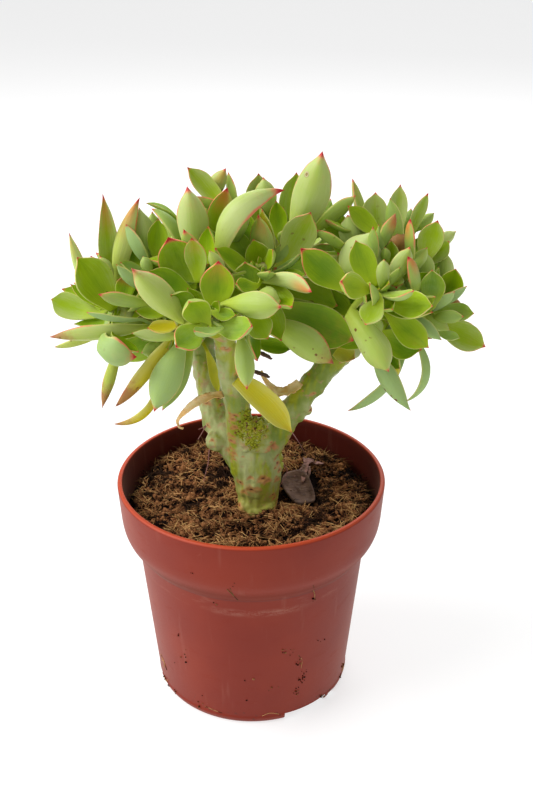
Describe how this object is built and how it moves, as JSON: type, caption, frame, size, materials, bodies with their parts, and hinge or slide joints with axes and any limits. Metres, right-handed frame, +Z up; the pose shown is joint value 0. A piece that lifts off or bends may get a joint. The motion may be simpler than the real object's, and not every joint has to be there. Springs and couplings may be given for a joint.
{
  "type": "potted succulent",
  "caption": "Branching crested succulent with crowded pointed fleshy leaves on a thick stem, in soil in a small tapered plastic pot.",
  "frame": {"origin": "centre of the whole plant's bounding box, on the plane that the pot's foot stands on", "axes": "+Z up, -Y toward the side that the picture shows, +X to that side's right"},
  "size_m": [0.157, 0.1152, 0.2207],
  "materials": {
    "terracotta_plastic": "satin thermoformed plastic",
    "peat_soil": "rough fibrous peat",
    "stem_skin": "waxy pale green bark with leaf scars",
    "leaf_green": "waxy leaf skin with a bloom",
    "leaf_yellow": "waxy, ageing",
    "leaf_tan": "dry and papery",
    "dry_leaf": "dead and dry"
  },
  "bodies": {
    "root": {"pot": "terracotta_plastic", "soil": "peat_soil", "stem": "stem_skin", "head_left": "leaf_green", "head_middle": "leaf_green", "head_right": "leaf_green", "leaf_yellow": "leaf_yellow", "leaf_yellow_small": "leaf_yellow", "leaf_curled": "leaf_tan", "leaf_tan": "leaf_tan", "leaf_fallen": "dry_leaf", "sprig_fallen": "dry_leaf"}
  },
  "joints": []
}
